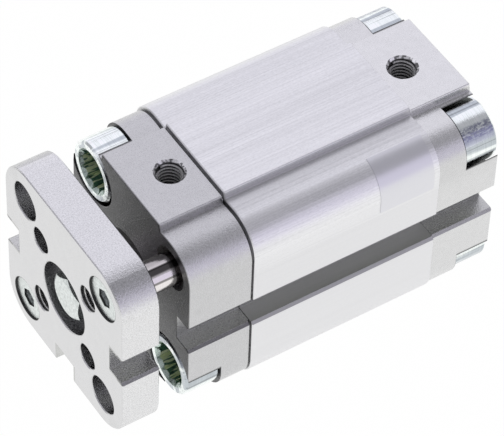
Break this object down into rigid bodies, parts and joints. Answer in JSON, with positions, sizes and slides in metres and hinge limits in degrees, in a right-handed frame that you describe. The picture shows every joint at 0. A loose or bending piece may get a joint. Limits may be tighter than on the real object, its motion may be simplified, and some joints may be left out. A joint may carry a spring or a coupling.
{
  "type": "compact pneumatic cylinder",
  "caption": "Square double-acting air cylinder with a guided yoke plate that can't turn, ports on top, sensor slots on the sides and splined collar screws in its corners.",
  "frame": {"origin": "centre of the rear mounting face, on the cylinder axis", "axes": "+X along the axis to the yoke plate, +Z to the side with the ports"},
  "size_m": [0.078, 0.0397, 0.0412],
  "materials": {
    "anodised_profile": "satin anodised, drawn along its length",
    "blasted_cap": "fine blasted",
    "blasted_plate": "fine blasted",
    "zinc_steel": "bright zinc plated",
    "polished_steel": "ground and polished",
    "piston_aluminium": "turned",
    "bronze": "sintered",
    "rubber": "moulded",
    "wear_plastic": "moulded",
    "magnet": "plastic bound magnet",
    "label_film": "clear gloss film"
  },
  "bodies": {
    "housing": {"barrel": "anodised_profile", "bearing_cap": "blasted_cap", "end_cap": "blasted_cap", "front_collar_screws": "zinc_steel", "rear_collar_screws": "zinc_steel", "rear_cap_seal": "rubber", "front_cap_seal": "rubber", "rear_bumper": "rubber", "front_bumper": "rubber", "rod_bush": "bronze", "rod_seal": "rubber", "guide_bush_upper": "bronze", "guide_bush_lower": "bronze", "type_label": "label_film"},
    "rod_assembly": {"piston_rod": "polished_steel", "piston_front": "piston_aluminium", "piston_rear": "piston_aluminium", "piston_seal_front": "rubber", "piston_seal_rear": "rubber", "piston_magnet": "magnet", "piston_wear_ring": "wear_plastic", "piston_screw": "zinc_steel", "yoke_plate": "blasted_plate", "yoke_bolt": "zinc_steel", "guide_rod_upper": "polished_steel", "guide_rod_lower": "polished_steel", "guide_rod_screws": "zinc_steel"}
  },
  "joints": [
    {"name": "stroke", "type": "slide", "parent": "housing", "child": "rod_assembly", "axis": [1, 0, 0], "range_m": [0, 0.025]}
  ]
}
